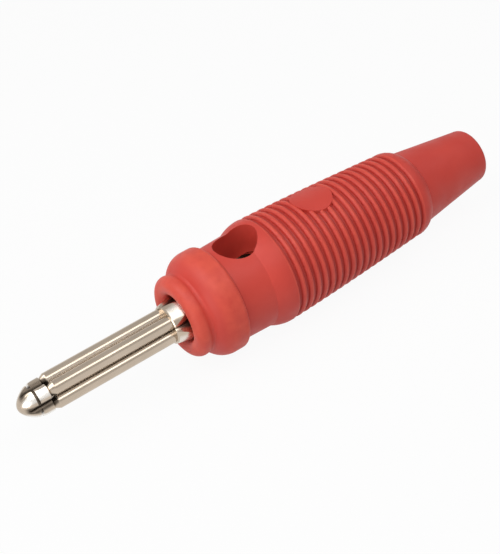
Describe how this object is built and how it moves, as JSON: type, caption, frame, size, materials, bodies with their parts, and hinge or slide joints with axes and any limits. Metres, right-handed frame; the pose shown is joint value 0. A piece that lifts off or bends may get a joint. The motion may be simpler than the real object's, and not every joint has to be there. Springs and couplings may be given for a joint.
{
  "type": "test connector",
  "caption": "Single-pole test plug: sprung round pin, cross socket for a second plug, ribbed red sleeve that slides back off its screw clamp.",
  "frame": {"origin": "on the plug's axis, at the front face of the sleeve, where the pin leaves it", "axes": "-X along the pin towards its tip, +X towards the cable, +Z along the cross hole on the side of the bare mark field"},
  "size_m": [0.0612, 0.0122, 0.0122],
  "materials": {
    "red_plastic": "satin soft moulding",
    "nickel_plate": "bright nickel plate",
    "zinc_steel": "zinc plated"
  },
  "bodies": {
    "metal_parts": {"contact_body": "nickel_plate", "pin_core": "nickel_plate", "spring_wire_1": "nickel_plate", "spring_wire_2": "nickel_plate", "spring_wire_3": "nickel_plate", "spring_wire_4": "nickel_plate"},
    "sleeve": {"insulating_sleeve": "red_plastic"},
    "screw": {"clamp_screw": "zinc_steel"}
  },
  "joints": [
    {"name": "sleeve_slide", "type": "slide", "parent": "metal_parts", "child": "sleeve", "axis": [1, 0, 0], "range_m": [0, 0.026]},
    {"name": "clamp_screw_travel", "type": "slide", "parent": "metal_parts", "child": "screw", "axis": [0, 0, -1], "range_m": [0, 0.0008]}
  ]
}
